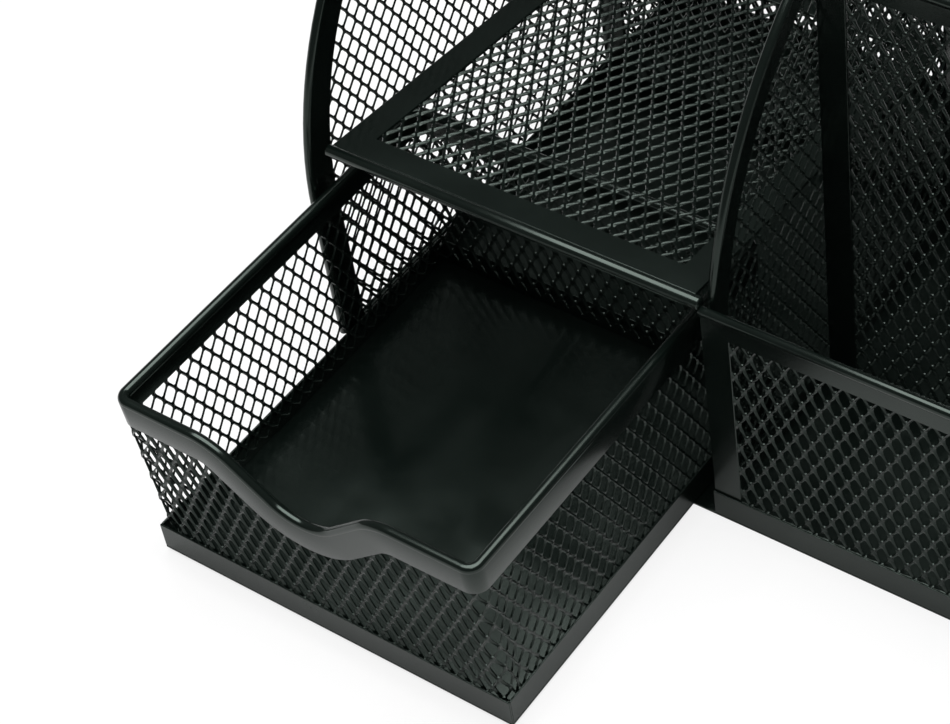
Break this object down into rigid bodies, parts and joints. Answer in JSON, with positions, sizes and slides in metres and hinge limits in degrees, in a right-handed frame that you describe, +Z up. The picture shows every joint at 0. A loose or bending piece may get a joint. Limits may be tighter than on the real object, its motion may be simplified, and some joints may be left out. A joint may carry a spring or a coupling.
{
  "type": "pen stand with drawer",
  "caption": "Desk organizer of black steel mesh with a pull-out drawer under a shelf, an open front bin, upright pen cups and a letter slot along the rear.",
  "frame": {"origin": "centre of the stand's flat base, on the surface it stands on", "axes": "+X to the right seen from the front, +Y to the rear, +Z up; the drawer pulls out along -Y"},
  "size_m": [0.22, 0.2246, 0.143],
  "materials": {
    "black_mesh": "black powder coat with a slight sheen, over expanded steel mesh",
    "black_strip": "smooth black powder coat on folded sheet steel strips and trays",
    "black_rim": "glossy black powder coat on rolled rims"
  },
  "bodies": {
    "organizer": {"base_floor": "black_strip", "base_front_flange": "black_strip", "base_left_flange": "black_strip", "base_rear_flange": "black_strip", "base_right_flange": "black_strip", "bin_front_frame": "black_strip", "bin_front_mesh": "black_mesh", "bin_front_rim": "black_rim", "divider_frame": "black_strip", "divider_mesh": "black_mesh", "divider_rim": "black_rim", "left_side_frame": "black_strip", "left_side_mesh": "black_mesh", "left_side_rim": "black_rim", "pen_partition_frame": "black_strip", "pen_partition_mesh": "black_mesh", "pen_partition_rim": "black_rim", "pen_wall_frame": "black_strip", "pen_wall_mesh": "black_mesh", "pen_wall_rim": "black_rim", "rear_wall_frame": "black_strip", "rear_wall_mesh": "black_mesh", "rear_wall_rim": "black_rim", "right_side_frame": "black_strip", "right_side_mesh": "black_mesh", "right_side_rim": "black_rim", "shelf_frame": "black_strip", "shelf_mesh": "black_mesh", "shelf_rim": "black_rim", "slot_wall_frame": "black_strip", "slot_wall_mesh": "black_mesh", "slot_wall_rim": "black_rim"},
    "drawer": {"drawer_floor": "black_strip", "drawer_front_band": "black_strip", "drawer_front_flange": "black_strip", "drawer_front_mesh": "black_mesh", "drawer_front_rim": "black_rim", "drawer_left_band": "black_strip", "drawer_left_flange": "black_strip", "drawer_left_mesh": "black_mesh", "drawer_left_rim": "black_rim", "drawer_rear_band": "black_strip", "drawer_rear_flange": "black_strip", "drawer_rear_mesh": "black_mesh", "drawer_rear_rim": "black_rim", "drawer_right_band": "black_strip", "drawer_right_flange": "black_strip", "drawer_right_mesh": "black_mesh", "drawer_right_rim": "black_rim"}
  },
  "joints": [
    {"name": "drawer_slide", "type": "slide", "parent": "organizer", "child": "drawer", "axis": [0, -1, 0], "range_m": [-0.075, 0.02]}
  ]
}
